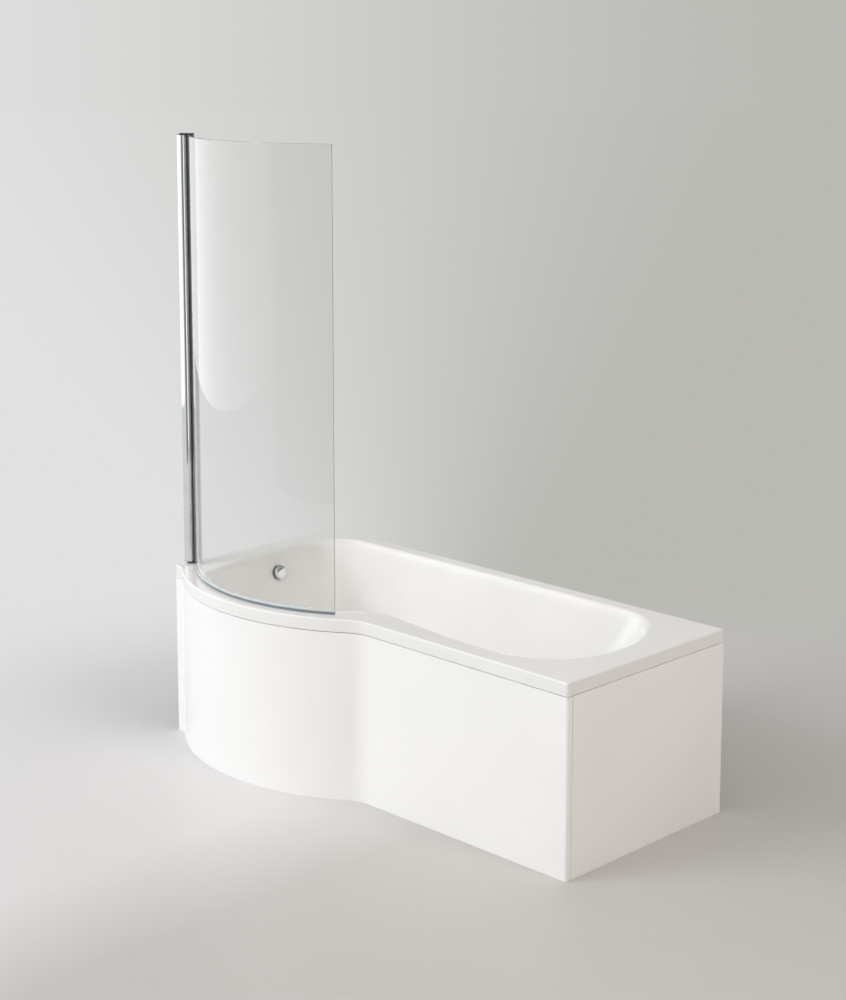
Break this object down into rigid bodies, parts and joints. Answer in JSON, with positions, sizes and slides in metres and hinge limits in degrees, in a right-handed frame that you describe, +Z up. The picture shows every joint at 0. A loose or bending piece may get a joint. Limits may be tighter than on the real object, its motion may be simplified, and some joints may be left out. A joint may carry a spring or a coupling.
{
  "type": "shower bath",
  "caption": "P-shaped shower bath with bowed front panel, end panel, hinged curved glass screen, pop-up waste, overflow and frame.",
  "frame": {"origin": "on the floor, in the middle of the bath's length and of its greatest width", "axes": "+X to the open narrow end, -X to the wall end with the hinge of the screen, -Y to the front that bows out, +Z up"},
  "size_m": [1.7, 0.85, 1.976],
  "materials": {
    "white_acrylic": "glossy",
    "board": "matte",
    "timber": "matte",
    "galvanised_steel": "satin",
    "black_plastic": "satin",
    "dark_metal": "satin",
    "chrome": "polished",
    "dark_chrome": "satin",
    "white_plastic": "satin",
    "foam_white": "matte",
    "black_rubber": "matte",
    "grey_hose": "satin",
    "cable_sheath": "satin",
    "screen_glass": "clear",
    "clear_seal": "clear"
  },
  "bodies": {
    "bath": {"bath_shell": "white_acrylic", "base_board": "board", "rim_batten_back": "timber", "rim_batten_front": "timber", "rim_batten_open_end": "timber", "rim_batten_wall_end": "timber", "rim_batten_bow": "timber", "front_panel": "white_acrylic", "end_panel": "white_acrylic", "panel_clips": "galvanised_steel", "panel_clip_screws": "galvanised_steel", "floor_batten_front": "timber", "floor_batten_end": "timber", "floor_blocks_bow": "timber", "leg_bar_waste_end": "galvanised_steel", "leg_bar_middle": "galvanised_steel", "leg_bar_open_end": "galvanised_steel", "leg_bar_screws": "galvanised_steel", "foot_studs": "galvanised_steel", "foot_adjusting_nuts": "galvanised_steel", "foot_lock_nuts": "galvanised_steel", "foot_pads": "black_plastic", "wall_brackets": "galvanised_steel", "wall_bracket_screws": "galvanised_steel", "waste_flange": "chrome", "waste_top_washer": "foam_white", "waste_lower_washer": "black_rubber", "waste_back_nut": "white_plastic", "waste_body": "white_plastic", "trap_union_nut": "white_plastic", "trap_washer": "black_rubber", "trap_bend": "white_plastic", "trap_outlet_nut": "white_plastic", "trap_outlet_seal": "black_rubber", "overflow_body": "white_plastic", "overflow_washer": "black_rubber", "overflow_ring": "dark_chrome", "overflow_hose": "grey_hose", "hose_clips": "galvanised_steel", "control_cable": "cable_sheath", "wall_channel": "galvanised_steel", "hinge_post": "chrome", "post_side_screws": "galvanised_steel", "pivot_bush_top": "black_plastic", "pivot_bush_bottom": "black_plastic"},
    "screen": {"hinge_arm_top": "dark_metal", "hinge_arm_bottom": "dark_metal", "glass_holder": "chrome", "glazing_gasket": "black_rubber", "screen_glass": "screen_glass", "screen_bottom_seal": "clear_seal"},
    "waste_knob": {"overflow_knob": "chrome", "overflow_spindle": "chrome"},
    "plug": {"plug_head": "chrome", "plug_seal": "black_rubber", "plug_stem": "chrome"}
  },
  "joints": [
    {"name": "screen_swing", "type": "hinge", "parent": "bath", "child": "screen", "pos_m": [-0.836, -0.222, 0.57], "axis": [0, 0, 1], "range_deg": [-60, 45]},
    {"name": "knob_turn", "type": "hinge", "parent": "bath", "child": "waste_knob", "pos_m": [-0.74217, 0.075, 0.49177], "axis": [0.9738, 0, 0.2272], "range_deg": [0, 100]},
    {"name": "plug_lift", "type": "slide", "parent": "bath", "child": "plug", "axis": [0, 0, 1], "range_m": [0, 0.0121]}
  ],
  "couplings": [
    {"joint": "plug_lift", "follows": "knob_turn", "m_per_rad": 0.006875}
  ]
}
